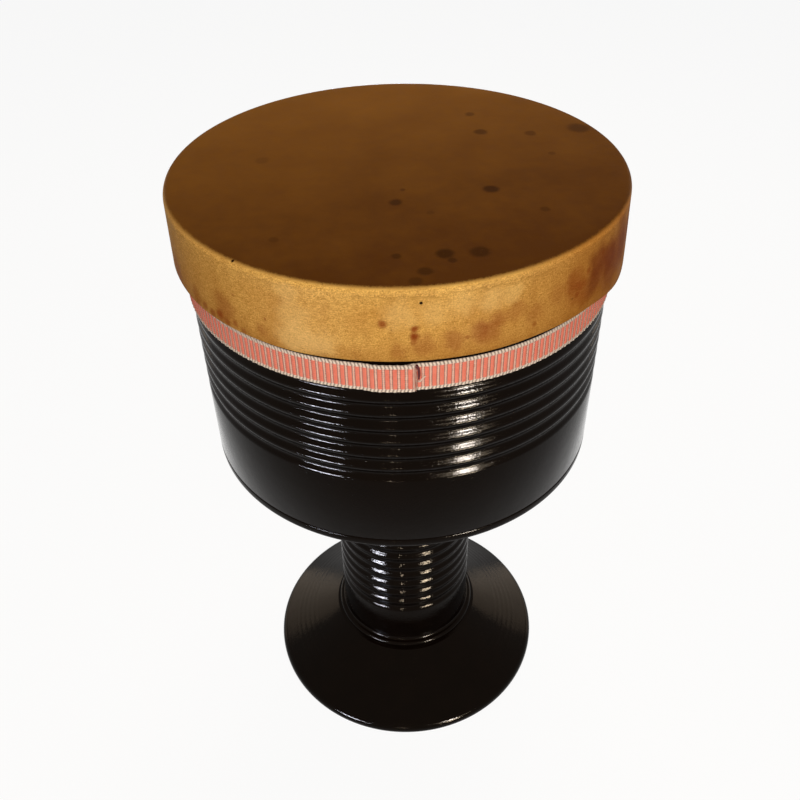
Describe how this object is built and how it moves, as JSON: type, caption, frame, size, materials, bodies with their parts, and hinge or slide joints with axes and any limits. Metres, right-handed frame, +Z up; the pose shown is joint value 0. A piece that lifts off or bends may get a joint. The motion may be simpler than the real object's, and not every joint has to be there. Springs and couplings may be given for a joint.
{
  "type": "goblet drum",
  "caption": "Goblet drum with a hide head lapped over a wooden hoop, a striped ribbon, and a ridged black shell of bowl, neck and hollow foot.",
  "frame": {"origin": "on the drum's axis, at the flat ring under the foot", "axes": "+Z up along the drum's axis to the head, -Y to the front, where the ribbon's ends lap"},
  "size_m": [0.2828, 0.2828, 0.4557],
  "materials": {
    "goat_hide": "bare hide, satin",
    "hoop_wood": "bare turned wood",
    "striped_ribbon": "woven, coral and beige stripes",
    "black_lacquer": "gloss black lacquer"
  },
  "bodies": {
    "root": {"drum_skin": "goat_hide", "head_hoop": "hoop_wood", "trim_ribbon": "striped_ribbon", "bowl_wall": "black_lacquer", "bowl_shoulder": "black_lacquer", "neck_tube": "black_lacquer", "neck_ring": "black_lacquer", "foot_dish": "black_lacquer"}
  },
  "joints": []
}
